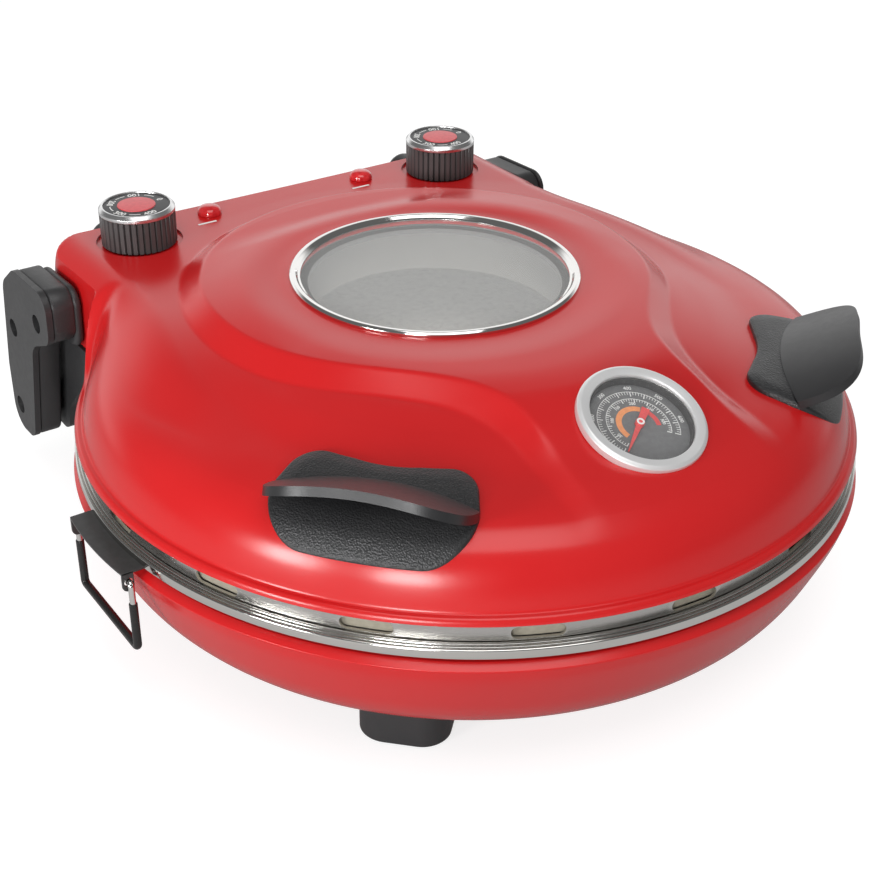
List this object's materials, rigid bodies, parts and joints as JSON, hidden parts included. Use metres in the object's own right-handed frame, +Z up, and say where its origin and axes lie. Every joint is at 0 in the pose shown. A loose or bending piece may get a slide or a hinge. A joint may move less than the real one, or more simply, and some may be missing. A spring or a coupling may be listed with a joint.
{
  "type": "electric pizza maker",
  "caption": "Round countertop cooker with a domed red lid on a rear hinge, viewing window, dial gauge, turn knobs, side clasps, winged handles and a baking stone over a heating element.",
  "frame": {"origin": "centre of the whole part's box at the table, between the feet", "axes": "+Z up, -Y to the front where the gauge is, +X to the user's right"},
  "size_m": [0.3668, 0.373, 0.1456],
  "materials": {
    "red_paint": "gloss enamel",
    "steel_pan": "satin",
    "bright_steel": "bright plated",
    "chrome_trim": "bright plated",
    "black_plastic": "fine spark-eroded texture",
    "black_metal": "black satin",
    "black_rubber": "matte",
    "stone": "unglazed, dry",
    "element_steel": "heat darkened",
    "dial_face": "black print",
    "red_plastic": "gloss",
    "red_lens": "clear red, glossy",
    "clear_glass": "polished"
  },
  "bodies": {
    "base": {"base_bowl": "red_paint", "base_pan": "steel_pan", "rim_gasket": "black_rubber", "baking_stone": "stone", "bottom_element": "element_steel", "bottom_element_clips": "bright_steel", "rear_housing": "black_plastic", "hinge_pins": "bright_steel", "cord_gland": "black_rubber", "foot_front_left": "black_plastic", "foot_front_right": "black_plastic", "foot_rear_left": "black_plastic", "foot_rear_right": "black_plastic", "foot_pads": "black_rubber", "clasp_bracket_left": "black_metal", "clasp_bracket_right": "black_metal"},
    "lid": {"lid_shell": "red_paint", "lid_liner": "steel_pan", "lid_floor_plate": "black_metal", "top_element": "element_steel", "top_element_clips": "bright_steel", "window_ring": "chrome_trim", "window_glass": "clear_glass", "window_gasket": "black_rubber", "gauge_bezel": "chrome_trim", "gauge_case": "bright_steel", "gauge_dial": "dial_face", "gauge_glass": "clear_glass", "gauge_probe": "bright_steel", "handle_left": "black_plastic", "handle_right": "black_plastic", "rest_left": "black_plastic", "rest_right": "black_plastic", "hinge_arm_left": "black_plastic", "hinge_arm_right": "black_plastic", "hinge_cover_left": "black_plastic", "hinge_cover_right": "black_plastic", "hinge_screws_left": "black_metal", "hinge_screws_right": "black_metal", "pilot_light_left": "red_lens", "pilot_light_right": "red_lens", "heat_switch_left": "black_plastic", "heat_switch_right": "black_plastic"},
    "knob_left": {"knob_body_left": "black_plastic", "knob_ring_left": "chrome_trim", "knob_dial_left": "dial_face", "knob_cap_left": "red_plastic", "knob_shaft_left": "bright_steel"},
    "knob_right": {"knob_body_right": "black_plastic", "knob_ring_right": "chrome_trim", "knob_dial_right": "dial_face", "knob_cap_right": "red_plastic", "knob_shaft_right": "bright_steel"},
    "gauge_pointer": {"gauge_pointer": "red_plastic"},
    "clasp_left": {"clasp_wire_left": "bright_steel", "clasp_sleeves_left": "black_rubber"},
    "clasp_right": {"clasp_wire_right": "bright_steel", "clasp_sleeves_right": "black_rubber"}
  },
  "joints": [
    {"name": "lid_hinge", "type": "hinge", "parent": "base", "child": "lid", "pos_m": [0, 0.1775, 0.0365], "axis": [-1, 0, 0], "range_deg": [0, 105]},
    {"name": "knob_left_turn", "type": "hinge", "parent": "lid", "child": "knob_left", "pos_m": [-0.0872, 0.1402, 0.1345], "axis": [0, 0, -1], "range_deg": [0, 300]},
    {"name": "knob_right_turn", "type": "hinge", "parent": "lid", "child": "knob_right", "pos_m": [0.0872, 0.1402, 0.1345], "axis": [0, 0, -1], "range_deg": [0, 300]},
    {"name": "gauge_pointer_turn", "type": "hinge", "parent": "lid", "child": "gauge_pointer", "pos_m": [0, -0.125, 0.1269], "axis": [0, 0.3746, -0.9272], "range_deg": [0, 270]},
    {"name": "clasp_left_swing", "type": "hinge", "parent": "base", "child": "clasp_left", "pos_m": [-0.1786, -0.0115, 0.06808], "axis": [0, 1, 0], "range_deg": [0, 190]},
    {"name": "clasp_right_swing", "type": "hinge", "parent": "base", "child": "clasp_right", "pos_m": [0.1786, -0.0115, 0.06808], "axis": [0, -1, 0], "range_deg": [0, 190]}
  ]
}
